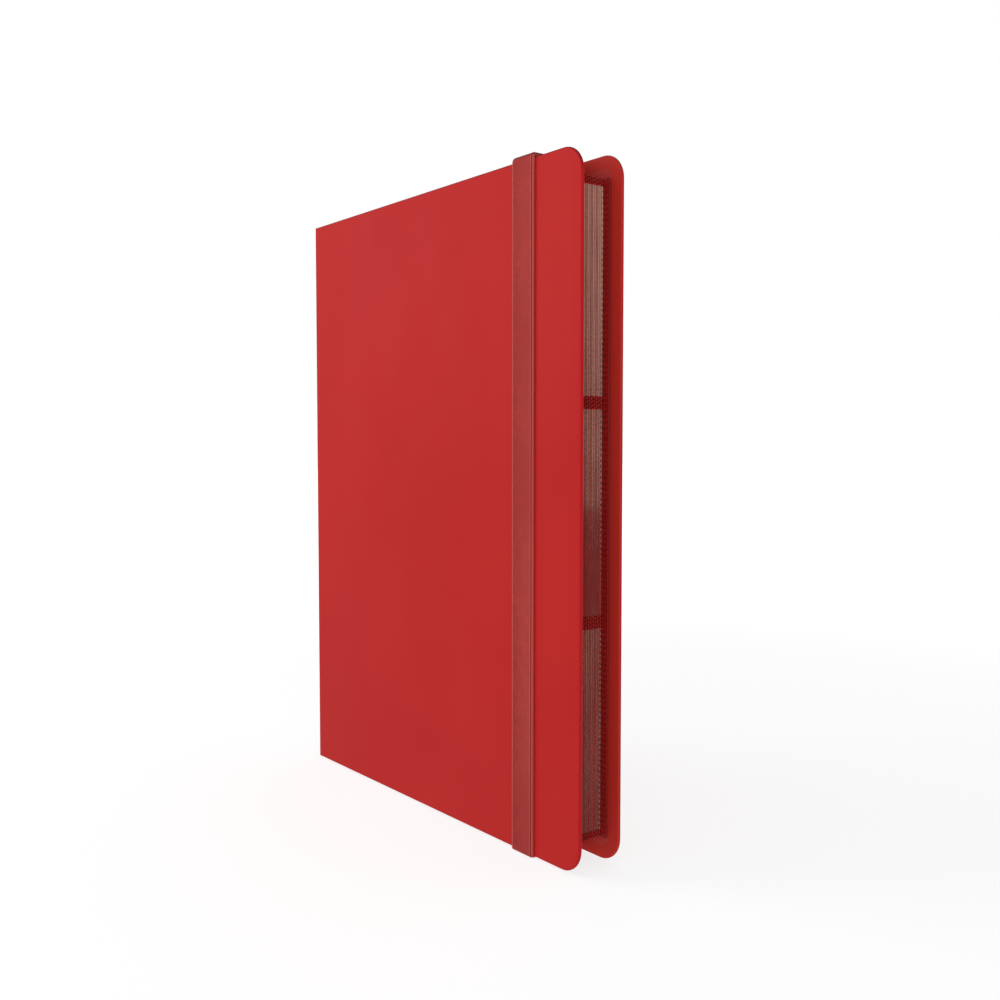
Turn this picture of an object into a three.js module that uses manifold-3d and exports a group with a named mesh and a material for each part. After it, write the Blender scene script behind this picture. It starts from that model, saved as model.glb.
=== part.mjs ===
// A side-loading trading card binder: two stiff covers and a spine in one wrapped case, a comb-like
// binding strip, twenty pocket leaves and an elastic strap that is anchored in the back cover.
// Millimetres, +Z up. The binder stands closed on its lower edge. The origin is the middle of its
// base: the spine is at -X, the fore-edge at +X, the front cover faces -Y.
import * as THREE from "three";
import { mergeVertices } from "three/addons/utils/BufferGeometryUtils.js";
import Module from "manifold-3d";

const wasm = await Module();
wasm.setup();

// ---- Driving dimensions -------------------------------------------------------------------------

// Pockets: one sleeved card (66 x 92) slides into each from the spine side.
const POCKET_WIDTH = 69.2;
const POCKET_HEIGHT = 93.2;
const POCKET_MOUTH = 0.6; // slit that a card goes in by
const COLUMN_WELD = 2.2; // closed side of a pocket
const ROW_WELD = 6; // welded band between two rows
const END_WELD = 3.5; // welded band along a leaf's top and bottom
const COLUMNS = 3;
const ROWS = 3;

// Leaves
const LEAF_COUNT = 20;
const BACKING = 0.25; // coloured sheet in the middle of a leaf
const FILM = 0.12; // clear film folded round the sheet
const CARD_SLACK = 0.18; // room between sheet and film
const LEAF_GAP = 0.21; // air between two leaves
const LEAF_END_GAP = 0.2; // between the sheet's end and the fold of the film
const LEAF_TAB = 6.5; // bare strip of the sheet between binding and film
const LAST_LEAF_BORDER = 3.4; // the last leaf is this much wider than the others

// Case
const SKIN = 0.35; // wrapping material
const BOARD = 0.9; // stiffener
const LINING = 0.35; // inside sheet, level with the skin's turn-in
const GLUE_LINE = 0.05; // between the layers
const TURN_IN = 6; // width of skin folded onto the inside
const CORNER_RADIUS = 12; // fore-edge corners of the covers
const HEAD_OVERHANG = 10.7; // cover beyond the leaves, above and below
const FORE_OVERHANG = 6.7; // cover beyond the last leaf at the fore-edge
const STACK_CLEARANCE = 0.4; // between the leaves and each cover
const FOLD_RADIUS = 2; // bare skin that turns from a cover to the spine

// Binding strip
const STRIP_BASE = 1; // flat part glued in the spine
const FIN_LENGTH = 4; // stub that a leaf is welded to
const FIN_GAP = 0.15; // fin to pivot, and pivot to leaf

// Elastic strap
const STRAP_WIDTH = 15;
const STRAP_THICKNESS = 1.7;
const STRAP_TAIL_THICKNESS = 0.7; // pressed flat under the tail, where the binder stands on it
const STRAP_HEAD_GAP = 0.5; // it bows up off the cover's head
const STRAP_INSET = 39; // strap's middle line to the fore-edge
const STRAP_TAB = 18; // end glued under the lining
const STRAP_TAB_THICKNESS = 0.5;
const SLOT_INSET = 14; // strap slot's outer side to the cover's edge
const SLOT_CLEARANCE = 0.3; // slot round the strap
const TOUCH = 0.05; // strap to what it lies on

const ARC_STEPS = 10;
const CUT_MARGIN = 1; // how far a cutting tool runs past what it cuts

// ---- Sizes worked out from them -----------------------------------------------------------------

const PANEL = SKIN + GLUE_LINE + BOARD + GLUE_LINE + LINING;
const LEAF = BACKING + 2 * (CARD_SLACK + FILM);
const LEAF_PITCH = LEAF + LEAF_GAP;
const STACK = LEAF + (LEAF_COUNT - 1) * LEAF_PITCH;
const THICKNESS = 2 * PANEL + 2 * STACK_CLEARANCE + STACK;

const COLUMN = POCKET_MOUTH + POCKET_WIDTH + COLUMN_WELD;
const LEAF_HEIGHT = ROWS * POCKET_HEIGHT + (ROWS - 1) * ROW_WELD + 2 * END_WELD;
const COVER_HEIGHT = LEAF_HEIGHT + 2 * HEAD_OVERHANG;

const STRIP_FACE = PANEL + GLUE_LINE;
const PIVOT_X = STRIP_FACE + STRIP_BASE + FIN_LENGTH + FIN_GAP;
const FILM_START = FIN_GAP + LEAF_TAB; // from the pivot
const FILM_END = FILM_START + COLUMNS * COLUMN + FILM;
const COVER_WIDTH = PIVOT_X + FILM_END + LAST_LEAF_BORDER + FORE_OVERHANG;

// ---- Small tools --------------------------------------------------------------------------------

// A closed geometry as a manifold solid.
function solid(geometry) {
  const g = geometry.clone();
  g.deleteAttribute("normal");
  g.deleteAttribute("uv");
  const merged = mergeVertices(g, 1e-4);
  return new wasm.Manifold(
    new wasm.Mesh({
      numProp: 3,
      vertProperties: merged.attributes.position.array,
      triVerts: new Uint32Array(merged.index.array),
    }),
  );
}

// A manifold solid as a geometry.
function geometryOf(body) {
  const mesh = body.getMesh();
  const g = new THREE.BufferGeometry();
  g.setAttribute("position", new THREE.BufferAttribute(mesh.vertProperties, 3));
  g.setIndex(new THREE.BufferAttribute(mesh.triVerts, 1));
  return g;
}

// A box between two corners.
function block(x0, x1, y0, y1, z0, z1) {
  const g = new THREE.BoxGeometry(x1 - x0, y1 - y0, z1 - z0);
  return g.translate((x0 + x1) / 2, (y0 + y1) / 2, (z0 + z1) / 2);
}

function cut(body, tools) {
  return tools.reduce((rest, tool) => rest.subtract(solid(tool)), body);
}

// A flat piece in the XZ plane: square at its spine side, rounded at the fore-edge, from y0 to y1.
function coverPlate(x0, x1, z0, z1, radius, y0, y1) {
  const outline = new THREE.Shape();
  outline.moveTo(x0, z0);
  outline.lineTo(x1 - radius, z0);
  outline.absarc(x1 - radius, z0 + radius, radius, -Math.PI / 2, 0, false);
  outline.absarc(x1 - radius, z1 - radius, radius, 0, Math.PI / 2, false);
  outline.lineTo(x0, z1);
  outline.closePath();
  const g = new THREE.ExtrudeGeometry(outline, {
    depth: y1 - y0,
    bevelEnabled: false,
    curveSegments: ARC_STEPS,
  });
  // The extrusion runs along +Z from the outline's plane: stand it up, so that it runs from y0 to y1.
  return g.rotateX(Math.PI / 2).translate(0, y1, 0);
}

// A profile of [y, z] points as a solid from x0 to x1.
function alongX(points, x0, x1) {
  const outline = new THREE.Shape(points.map(([y, z]) => new THREE.Vector2(y, z)));
  const g = new THREE.ExtrudeGeometry(outline, { depth: x1 - x0, bevelEnabled: false });
  // Outline axes (X, Y) and the extrusion's Z become (Y, Z) and X.
  const turn = new THREE.Matrix4().set(0, 0, 1, x0, 1, 0, 0, 0, 0, 1, 0, 0, 0, 0, 0, 1);
  return g.applyMatrix4(turn);
}

// A profile of [x, y] points as a solid from z0 to z1.
function alongZ(points, z0, z1) {
  const outline = new THREE.Shape(points.map(([x, y]) => new THREE.Vector2(x, y)));
  return new THREE.ExtrudeGeometry(outline, { depth: z1 - z0, bevelEnabled: false }).translate(0, 0, z0);
}

// Points on an arc about (u, v) with half-widths ru and rv, from angle a to angle b.
function arc(u, v, ru, rv, a, b) {
  return Array.from({ length: ARC_STEPS + 1 }, (_, i) => {
    const t = a + ((b - a) * i) / ARC_STEPS;
    return [u + ru * Math.cos(t), v + rv * Math.sin(t)];
  });
}

const finish = (color, roughness, extra = {}) =>
  new THREE.MeshStandardMaterial({ color, roughness, metalness: 0, ...extra });

const RED_SKIN = finish(0xbe2d2d, 0.55);
const GREY_BOARD = finish(0x8a8378, 0.9);
const RED_LINING = finish(0xa82422, 0.6);
const RED_SHEET = finish(0x9c1c1c, 0.45);
const CLEAR_FILM = finish(0xd8d4d0, 0.2, { transparent: true, opacity: 0.35 });
const RED_ELASTIC = finish(0xa63430, 0.7);

const binder = new THREE.Group();
// Everything below is laid out from the case's outer corner at spine, front and base.
binder.position.set(-COVER_WIDTH / 2, -THICKNESS / 2, STRAP_TAIL_THICKNESS + TOUCH);

function add(name, geometry, material, parent = binder) {
  const mesh = new THREE.Mesh(geometry, material);
  mesh.name = name;
  parent.add(mesh);
  return mesh;
}

// ---- Covers -------------------------------------------------------------------------------------

const BOARD_FACE = SKIN + GLUE_LINE; // depth of the board's outer face
const LINING_FACE = BOARD_FACE + BOARD + GLUE_LINE; // depth of the lining's outer face
const STRAP_X0 = COVER_WIDTH - STRAP_INSET - STRAP_WIDTH / 2;
const STRAP_X1 = STRAP_X0 + STRAP_WIDTH;
const SLOT_X0 = STRAP_X0 - SLOT_CLEARANCE;
const SLOT_X1 = STRAP_X1 + SLOT_CLEARANCE;
const SLOT_TOP = COVER_HEIGHT - SLOT_INSET;
const SLOT_HEIGHT = STRAP_THICKNESS + 2 * SLOT_CLEARANCE;

// One cover, laid out as the front one: outer face at y = 0, spine's outer face at x = 0.
const EDGE_INSET = SKIN + GLUE_LINE;
const FOLD_END = FOLD_RADIUS + GLUE_LINE;

function coverSkin() {
  const outer = coverPlate(FOLD_END, COVER_WIDTH, 0, COVER_HEIGHT, CORNER_RADIUS, 0, PANEL);
  const boardSpace = coverPlate(
    FOLD_END - CUT_MARGIN, COVER_WIDTH - SKIN, SKIN, COVER_HEIGHT - SKIN,
    CORNER_RADIUS - SKIN, SKIN, LINING_FACE);
  const window = coverPlate(
    FOLD_END - CUT_MARGIN, COVER_WIDTH - TURN_IN, TURN_IN, COVER_HEIGHT - TURN_IN,
    CORNER_RADIUS - TURN_IN, SKIN, PANEL + CUT_MARGIN);
  return cut(solid(outer), [boardSpace, window]);
}

function coverBoard() {
  return solid(coverPlate(
    FOLD_END, COVER_WIDTH - EDGE_INSET, EDGE_INSET, COVER_HEIGHT - EDGE_INSET,
    CORNER_RADIUS - EDGE_INSET, BOARD_FACE, BOARD_FACE + BOARD));
}

function coverLining() {
  const edge = TURN_IN + GLUE_LINE;
  return solid(coverPlate(
    FOLD_END, COVER_WIDTH - edge, edge, COVER_HEIGHT - edge,
    CORNER_RADIUS - edge, LINING_FACE, PANEL));
}

// The strap's slots near head and tail, right through what they are cut in.
function strapSlots() {
  return [
    block(SLOT_X0, SLOT_X1, -CUT_MARGIN, LINING_FACE, SLOT_TOP - SLOT_HEIGHT, SLOT_TOP),
    block(SLOT_X0, SLOT_X1, -CUT_MARGIN, LINING_FACE, SLOT_INSET, SLOT_INSET + SLOT_HEIGHT),
  ];
}

// The shallow seats in the board for the strap's glued ends.
function strapSeats() {
  const floor = BOARD_FACE + BOARD - STRAP_TAB_THICKNESS - TOUCH;
  const reach = STRAP_TAB + SLOT_HEIGHT + SLOT_CLEARANCE;
  return [
    block(SLOT_X0, SLOT_X1, floor, PANEL, SLOT_TOP - reach, SLOT_TOP),
    block(SLOT_X0, SLOT_X1, floor, PANEL, SLOT_INSET, SLOT_INSET + reach),
  ];
}

add("front_skin", geometryOf(coverSkin()), RED_SKIN);
add("front_board", geometryOf(coverBoard()), GREY_BOARD);
add("front_lining", geometryOf(coverLining()), RED_LINING);

// The back cover is the same cover turned over about the X axis.
const backCover = new THREE.Group();
backCover.rotation.x = Math.PI;
backCover.position.set(0, THICKNESS, COVER_HEIGHT);
binder.add(backCover);
add("back_skin", geometryOf(cut(coverSkin(), strapSlots())), RED_SKIN, backCover);
add("back_board", geometryOf(cut(coverBoard(), [...strapSlots(), ...strapSeats()])), GREY_BOARD, backCover);
add("back_lining", geometryOf(coverLining()), RED_LINING, backCover);

// ---- Spine --------------------------------------------------------------------------------------

const SPINE_Y0 = FOLD_END;
const SPINE_Y1 = THICKNESS - FOLD_END;

// Skin wrapped round the head and tail of the spine board.
function spineSkin() {
  const outer = block(0, PANEL, SPINE_Y0, SPINE_Y1, 0, COVER_HEIGHT);
  const y0 = SPINE_Y0 - CUT_MARGIN;
  const y1 = SPINE_Y1 + CUT_MARGIN;
  const boardSpace = block(SKIN, LINING_FACE, y0, y1, SKIN, COVER_HEIGHT - SKIN);
  const window = block(SKIN, PANEL + CUT_MARGIN, y0, y1, TURN_IN, COVER_HEIGHT - TURN_IN);
  return cut(solid(outer), [boardSpace, window]);
}

add("spine_skin", geometryOf(spineSkin()), RED_SKIN);
add("spine_board",
  block(BOARD_FACE, BOARD_FACE + BOARD, SPINE_Y0, SPINE_Y1, EDGE_INSET, COVER_HEIGHT - EDGE_INSET), GREY_BOARD);
add("spine_lining",
  block(LINING_FACE, PANEL, SPINE_Y0, SPINE_Y1, TURN_IN + GLUE_LINE, COVER_HEIGHT - TURN_IN - GLUE_LINE),
  RED_LINING);

// A fold: bare skin in a quarter turn from the front cover's outer face to the spine's.
function crease() {
  const outer = arc(FOLD_RADIUS, FOLD_RADIUS, FOLD_RADIUS, FOLD_RADIUS, Math.PI, 1.5 * Math.PI);
  const r = FOLD_RADIUS - SKIN;
  const inner = arc(FOLD_RADIUS, FOLD_RADIUS, r, r, 1.5 * Math.PI, Math.PI);
  return alongZ([...outer, ...inner], 0, COVER_HEIGHT);
}

add("front_crease", crease(), RED_SKIN);
add("back_crease", crease().rotateX(Math.PI).translate(0, THICKNESS, COVER_HEIGHT), RED_SKIN);

// ---- Binding strip ------------------------------------------------------------------------------

const LEAF_Z0 = HEAD_OVERHANG;
const LEAF_Z1 = HEAD_OVERHANG + LEAF_HEIGHT;
const leafY = (i) => PANEL + STACK_CLEARANCE + LEAF / 2 + i * LEAF_PITCH;

function bindingStrip() {
  const root = STRIP_FACE + STRIP_BASE;
  const tip = root + FIN_LENGTH;
  const points = [[STRIP_FACE, SPINE_Y0 + GLUE_LINE], [root, SPINE_Y0 + GLUE_LINE]];
  for (let i = 0; i < LEAF_COUNT; i++) {
    const y0 = leafY(i) - BACKING / 2;
    const y1 = leafY(i) + BACKING / 2;
    points.push([root, y0], [tip, y0], [tip, y1], [root, y1]);
  }
  points.push([root, SPINE_Y1 - GLUE_LINE], [STRIP_FACE, SPINE_Y1 - GLUE_LINE]);
  return alongZ(points, LEAF_Z0, LEAF_Z1);
}

add("binding_strip", bindingStrip(), RED_SHEET);

// ---- Leaves -------------------------------------------------------------------------------------

// A leaf is laid out from its pivot, along +X, with y = 0 in the middle of its sheet.
function leafSheet(border) {
  const end = FILM_END + border - FILM - LEAF_END_GAP;
  return block(FIN_GAP, end, -BACKING / 2, BACKING / 2, LEAF_Z0, LEAF_Z1);
}

// Clear film folded round the sheet's outer edge, with the mouths of the pockets slit in both sides.
// The first column's mouths are at the film's open edge.
function leafFilm(border) {
  const end = FILM_END + border;
  const inside = LEAF / 2 - FILM;
  const outer = block(FILM_START, end, -LEAF / 2, LEAF / 2, LEAF_Z0, LEAF_Z1);
  const hollow = block(
    FILM_START - CUT_MARGIN, end - FILM, -inside, inside, LEAF_Z0 - CUT_MARGIN, LEAF_Z1 + CUT_MARGIN);
  const mouths = [];
  for (let column = 1; column < COLUMNS; column++) {
    for (let row = 0; row < ROWS; row++) {
      const x = FILM_START + column * COLUMN;
      const z = LEAF_Z0 + END_WELD + row * (POCKET_HEIGHT + ROW_WELD);
      mouths.push(block(x, x + POCKET_MOUTH, -LEAF, LEAF, z, z + POCKET_HEIGHT));
    }
  }
  return geometryOf(cut(solid(outer), [hollow, ...mouths]));
}

for (let i = 0; i < LEAF_COUNT; i++) {
  const leaf = new THREE.Group();
  leaf.position.set(PIVOT_X, leafY(i), 0);
  const number = String(i + 1).padStart(2, "0");
  const border = i === LEAF_COUNT - 1 ? LAST_LEAF_BORDER : 0;
  add(`page_${number}_sheet`, leafSheet(border), RED_SHEET, leaf);
  add(`page_${number}_pockets`, leafFilm(border), CLEAR_FILM, leaf);
  binder.add(leaf);
}

// ---- Elastic strap ------------------------------------------------------------------------------

// One end of the strap in side view, as [y, height above the cover's edge]: up the front, over the
// edge, down the back to its slot, through the back cover and flat under the lining.
function strapEnd(gap, thickness) {
  const front = -TOUCH;
  const back = THICKNESS + TOUCH;
  const s = STRAP_THICKNESS;
  const seat = THICKNESS - BOARD_FACE - BOARD + TOUCH / 2; // inner side of the glued end
  const slotTop = -SLOT_INSET - SLOT_CLEARANCE;
  const slotLow = slotTop - s;
  return [
    ...arc(front, 0, s, gap + thickness, Math.PI, Math.PI / 2),
    ...arc(back, 0, s, gap + thickness, Math.PI / 2, 0),
    ...arc(back, slotLow + s, s, s, 0, -Math.PI / 2),
    [seat + STRAP_TAB_THICKNESS, slotLow],
    [seat + STRAP_TAB_THICKNESS, slotLow - STRAP_TAB],
    [seat, slotLow - STRAP_TAB],
    [seat, slotTop],
    [back, slotTop],
    [back, gap],
    [front, gap],
  ];
}

function elasticStrap() {
  const head = strapEnd(STRAP_HEAD_GAP, STRAP_THICKNESS).map(([y, h]) => [y, COVER_HEIGHT + h]);
  const tail = strapEnd(TOUCH, STRAP_TAIL_THICKNESS).map(([y, h]) => [y, -h]);
  return alongX([...head, ...tail.reverse()], STRAP_X0, STRAP_X1);
}

add("elastic_strap", elasticStrap(), RED_ELASTIC);

export default binder;
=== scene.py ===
# %% [markdown]
# # A trading card binder
# The real thing is a slim album in a wrapped case: two stiff covers and a spine, twenty leaves of
# clear pockets inside, and a wide elastic strap over the front. The sizes and the places of all
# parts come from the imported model, which is loaded first as a frame. Everything made here is fitted
# to that frame, in metres, with the spine at -X, the fore-edge at +X and the front cover facing -Y.

# %% Load the frame
import math

import bmesh
import bpy
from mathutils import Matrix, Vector


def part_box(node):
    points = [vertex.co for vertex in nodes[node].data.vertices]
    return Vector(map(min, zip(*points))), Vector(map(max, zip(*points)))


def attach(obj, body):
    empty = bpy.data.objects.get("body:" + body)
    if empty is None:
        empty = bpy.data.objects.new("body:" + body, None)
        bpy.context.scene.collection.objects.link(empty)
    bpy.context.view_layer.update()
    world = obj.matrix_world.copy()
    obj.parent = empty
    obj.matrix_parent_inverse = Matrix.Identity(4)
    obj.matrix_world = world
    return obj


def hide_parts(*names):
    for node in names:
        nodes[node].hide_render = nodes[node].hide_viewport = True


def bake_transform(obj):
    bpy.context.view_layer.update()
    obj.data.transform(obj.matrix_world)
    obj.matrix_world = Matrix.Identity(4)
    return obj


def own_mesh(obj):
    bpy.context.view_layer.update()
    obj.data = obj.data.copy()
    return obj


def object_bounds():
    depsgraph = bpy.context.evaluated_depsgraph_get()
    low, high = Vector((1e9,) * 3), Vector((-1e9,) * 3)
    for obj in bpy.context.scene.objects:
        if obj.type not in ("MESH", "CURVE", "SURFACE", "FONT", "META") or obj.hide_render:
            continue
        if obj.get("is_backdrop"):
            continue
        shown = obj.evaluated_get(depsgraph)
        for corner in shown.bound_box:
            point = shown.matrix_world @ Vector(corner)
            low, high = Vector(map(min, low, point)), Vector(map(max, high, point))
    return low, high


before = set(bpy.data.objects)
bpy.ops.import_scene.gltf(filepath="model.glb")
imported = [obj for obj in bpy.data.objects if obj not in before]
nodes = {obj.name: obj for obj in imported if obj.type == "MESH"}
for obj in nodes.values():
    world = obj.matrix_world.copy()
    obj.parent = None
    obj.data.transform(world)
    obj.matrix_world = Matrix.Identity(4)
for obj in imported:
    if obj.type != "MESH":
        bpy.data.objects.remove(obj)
cad_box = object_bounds()
MM = 0.001

# %% [markdown]
# ## Measuring the frame
# A maker starts with a rule. The case's outer faces, the leaves' ends and the strap's two edges are
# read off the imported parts. Only what a box can't tell, such as a corner's radius, is stated.

# %% Read the sizes that the pieces are fitted to
FRONT_LOW, FRONT_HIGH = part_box("front_skin")
BACK_LOW, BACK_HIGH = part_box("back_skin")
SPINE_LOW, SPINE_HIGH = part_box("spine_skin")
LINING_LOW, LINING_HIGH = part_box("front_lining")
STRAP_LOW, STRAP_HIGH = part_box("elastic_strap")
FOOT, HEAD = FRONT_LOW.z, FRONT_HIGH.z
FORE_EDGE = FRONT_HIGH.x
SPINE_FACE = SPINE_LOW.x
FRONT_FACE, BACK_FACE = FRONT_LOW.y, BACK_HIGH.y
PANEL = FRONT_HIGH.y - FRONT_LOW.y
TURN_IN = HEAD - LINING_HIGH.z
LINING = LINING_HIGH.y - LINING_LOW.y
CORNER_RADIUS = 12 * MM
MIDDLE = (FOOT + HEAD) / 2
HALF_HEIGHT = (HEAD - FOOT) / 2


def in_mm(values, digits=1):
    return [round(v / MM, digits) for v in values]


print("cover's height and width:", in_mm((HEAD - FOOT, FORE_EDGE - SPINE_FACE)))
print("thickness of case and panel:", in_mm((BACK_FACE - FRONT_FACE, PANEL)))

# %% [markdown]
# ## Hand tools
# The pieces below are all made the way they would be by hand: a primitive is placed, taken into
# edit mode, and shaped by picking faces or edges and running a tool on them. Picking is the one
# thing a script does differently, so it gets a helper that picks by place or direction.

# %% Helpers for selecting and editing
def deselect_everything():
    bpy.ops.object.select_all(action="DESELECT")


def take(piece):
    """Makes piece the only selected object."""
    deselect_everything()
    piece.select_set(True)
    bpy.context.view_layer.objects.active = piece
    return piece


def open_for_editing(piece):
    take(piece)
    bpy.ops.object.mode_set(mode="EDIT")


def close():
    bpy.ops.object.mode_set(mode="OBJECT")


def pick(kind, wanted):
    """Selects the verts, edges or faces of the open piece that are wanted, and returns how many."""
    bpy.ops.mesh.select_mode(type={"verts": "VERT", "edges": "EDGE", "faces": "FACE"}[kind])
    bpy.ops.mesh.select_all(action="DESELECT")
    mesh = bmesh.from_edit_mesh(bpy.context.object.data)
    mesh.normal_update()
    found = [e for e in getattr(mesh, kind) if wanted(e)]
    for element in found:
        element.select_set(True)
    if kind == "verts":
        mesh.select_flush(True)
    bmesh.update_edit_mesh(bpy.context.object.data)
    return len(found)


def cut_through(point, direction):
    """Cuts the whole open piece along a plane, without parting it."""
    bpy.ops.mesh.select_all(action="SELECT")
    bpy.ops.mesh.bisect(plane_co=point, plane_no=direction, use_fill=False)


def slab(name, low, high):
    """A box between two corners, with its place in its mesh."""
    deselect_everything()
    low, high = Vector(low), Vector(high)
    bpy.ops.mesh.primitive_cube_add(size=1, location=(low + high) / 2)
    piece = bpy.context.object
    piece.name = name
    piece.scale = high - low
    settle(piece)
    return piece


def settle(piece):
    """Puts a piece's place, turn and scale into its mesh."""
    take(piece)
    bpy.ops.object.transform_apply(location=True, rotation=True, scale=True)


def copy_of(piece, name):
    """A copy with its own mesh."""
    take(piece)
    bpy.ops.object.duplicate(linked=False)
    twin = bpy.context.object
    twin.name = name
    return twin


def apply_modifier(piece, kind, **settings):
    take(piece)
    modifier = piece.modifiers.new(kind.title(), kind)
    for key, value in settings.items():
        setattr(modifier, key, value)
    bpy.ops.object.modifier_apply(modifier=modifier.name)


def face_outwards(piece):
    open_for_editing(piece)
    bpy.ops.mesh.select_all(action="SELECT")
    bpy.ops.mesh.remove_doubles(threshold=0.001 * MM)
    bpy.ops.mesh.normals_make_consistent(inside=False)
    close()


def smooth(piece, degrees=35):
    take(piece)
    bpy.ops.object.shade_smooth_by_angle(angle=math.radians(degrees))


def spin(degrees, centre, axis, steps):
    """Draws what is selected round a line, by the right-hand rule. The tool turns the other way."""
    bpy.ops.mesh.spin(steps=steps, angle=math.radians(-degrees), center=centre, axis=axis)


def near(a, b, slack=0.01 * MM):
    return abs(a - b) < slack


def sharp(edge, degrees=60):
    return len(edge.link_faces) == 2 and edge.calc_face_angle() > math.radians(degrees)


def along(edge, axis):
    a, b = edge.verts
    return all(near(a.co[i], b.co[i]) for i in range(3) if i != axis)


# %% [markdown]
# ## Shader sums as plain Python
# A finish is mostly arithmetic on noise and distance. Written as node calls, a sum such as
# `grain * 0.2 + stain` takes ten lines, so one small class wraps a socket and lets Python's own
# operators make the Math nodes. Colours and vectors go through Mix and Vector Math.

# %% The finish helpers
class Wire:
    """One output of a node, which can be added, scaled and compared like a number."""

    def __init__(self, finish, socket):
        self.finish = finish
        self.socket = socket

    def sum_with(self, operation, *others):
        values = [self, *others]
        flat = [v for v in values if not isinstance(v, (tuple, Vector))]
        is_vector = len(flat) < len(values) or any(
            isinstance(v, Wire) and v.socket.type == "VECTOR" for v in values
        )
        kind = "ShaderNodeVectorMath" if is_vector else "ShaderNodeMath"
        return self.finish.add(kind, {"operation": operation}, {i: v for i, v in enumerate(values)})

    def __add__(self, other):
        return self.sum_with("ADD", other)

    def __radd__(self, other):
        return self.sum_with("ADD", other)

    def __sub__(self, other):
        return self.sum_with("SUBTRACT", other)

    def __rsub__(self, other):
        return (self * -1) + other

    def __mul__(self, other):
        if self.socket.type == "VECTOR" and isinstance(other, (int, float)):
            other = (other, other, other)
        return self.sum_with("MULTIPLY", other)

    __rmul__ = __mul__

    def __pow__(self, other):
        return self.sum_with("POWER", other)

    def __abs__(self):
        return self.sum_with("ABSOLUTE")

    def at_least(self, other):
        return self.sum_with("MAXIMUM", other)

    def at_most(self, other):
        return self.sum_with("MINIMUM", other)

    def wave(self):
        return self.sum_with("SINE")

    def within(self, low, high):
        """Rises smoothly from 0 at low to 1 at high, and stays there beyond them."""
        return self.finish.add(
            "ShaderNodeMapRange",
            {"interpolation_type": "SMOOTHSTEP"},
            {"Value": self, "From Min": low, "From Max": high},
        )

    def part(self, axis):
        return self.finish.add("ShaderNodeSeparateXYZ", {}, {0: self}, axis)


class Finish:
    """A material with one Principled shader, and the nodes that feed it."""

    def __init__(self, name, **fixed):
        self.material = bpy.data.materials.new(name)
        self.material.use_nodes = True
        self.tree = self.material.node_tree
        self.shader = self.tree.nodes["Principled BSDF"]
        for key, value in fixed.items():
            self.shader.inputs[key.replace("_", " ")].default_value = value

    def add(self, kind, settings, inputs, out=0):
        """Adds a node, sets it up, plugs in its inputs and gives back one of its outputs."""
        node = self.tree.nodes.new(kind)
        for key, value in settings.items():
            setattr(node, key, value)
        for key, value in inputs.items():
            if isinstance(value, Wire):
                self.tree.links.new(value.socket, node.inputs[key])
            else:
                node.inputs[key].default_value = value
        return Wire(self, node.outputs[out])

    def place(self):
        """Where a point lies on the object, in metres."""
        return self.add("ShaderNodeTexCoord", {}, {}, "Object")

    def stretched(self, x, y, z):
        return self.add("ShaderNodeMapping", {}, {"Vector": self.place(), "Scale": (x, y, z)})

    def noise(self, per_metre, detail=2.0, where=None):
        inputs = {"Vector": where or self.place(), "Scale": per_metre, "Detail": detail}
        return self.add("ShaderNodeTexNoise", {}, inputs, 0)

    def blend(self, amount, first, second):
        """From one colour to another."""
        inputs = {0: amount, 6: first, 7: second}
        return self.add("ShaderNodeMix", {"data_type": "RGBA"}, inputs, 2)

    def bump(self, height, distance, strength=1.0):
        inputs = {"Height": height, "Distance": distance, "Strength": strength}
        return self.add("ShaderNodeBump", {}, inputs, 0)

    def feed(self, **wires):
        for key, wire in wires.items():
            self.tree.links.new(wire.socket, self.shader.inputs[key.replace("_", " ")])
        return self.material


def rgb(red, green, blue):
    """A colour as it is seen on a screen, 0 to 255, as the linear colour that a shader needs."""
    seen = [v / 255 for v in (red, green, blue)]
    return tuple(v / 12.92 if v <= 0.04045 else ((v + 0.055) / 1.055) ** 2.4 for v in seen) + (1.0,)


def dress(piece, *finishes):
    """Gives a piece its finishes, in the order of its material slots."""
    slots = piece.data.materials
    for place, finish in enumerate(finishes):
        if place < len(slots):
            slots[place] = finish
        else:
            slots.append(finish)
    return piece


# %% [markdown]
# ## The covers' wrapping
# The case is wrapped in a thin, soft-touch sheet. It is smooth from a step away, and close up it
# has a very fine even grain, with handling marks that change its gloss more than its colour. Along
# the edges the wrapping is pulled tight over the board and rubs a little shinier and deeper, and
# the head's edge, which is the one that is handled and gathers dust, is darker. Inside the case,
# on the turned-in border, the same cloth is painted a browner red, the tint it shows in shade.
# The rubbed border is a distance to the cover's rounded outline, so it follows the corners.

# %% Wrapping finish
EDGE_LINE = 0.1 * MM  # the wear is full from here outwards
RUBBED_WIDTH = 1.6 * MM
DUSTY_WIDTH = 0.7 * MM
DUSTY_FROM, DUSTY_TO = HEAD - 14 * MM, HEAD - 3 * MM
OUTSIDE_DEPTH, INSIDE_DEPTH = 0.9 * MM, 1.3 * MM  # from the case's face, across a board's edge
INSIDE_START = 2 * MM  # from the spine side of a cover


def distance_to_outline(finish):
    """Metres from a point to the cover's outline in front view, below zero inside it."""
    middle = ((SPINE_FACE - CORNER_RADIUS + FORE_EDGE) / 2, 0, MIDDLE)
    half_width = (FORE_EDGE - SPINE_FACE + CORNER_RADIUS) / 2 - CORNER_RADIUS
    half_height = HALF_HEIGHT - CORNER_RADIUS
    from_middle = finish.place() - middle
    past_x = abs(from_middle.part(0)) - half_width
    past_z = abs(from_middle.part(2)) - half_height
    outside = (past_x.at_least(0) ** 2 + past_z.at_least(0) ** 2) ** 0.5
    inside = past_x.at_least(past_z).at_most(0)
    return outside + inside - CORNER_RADIUS


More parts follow.
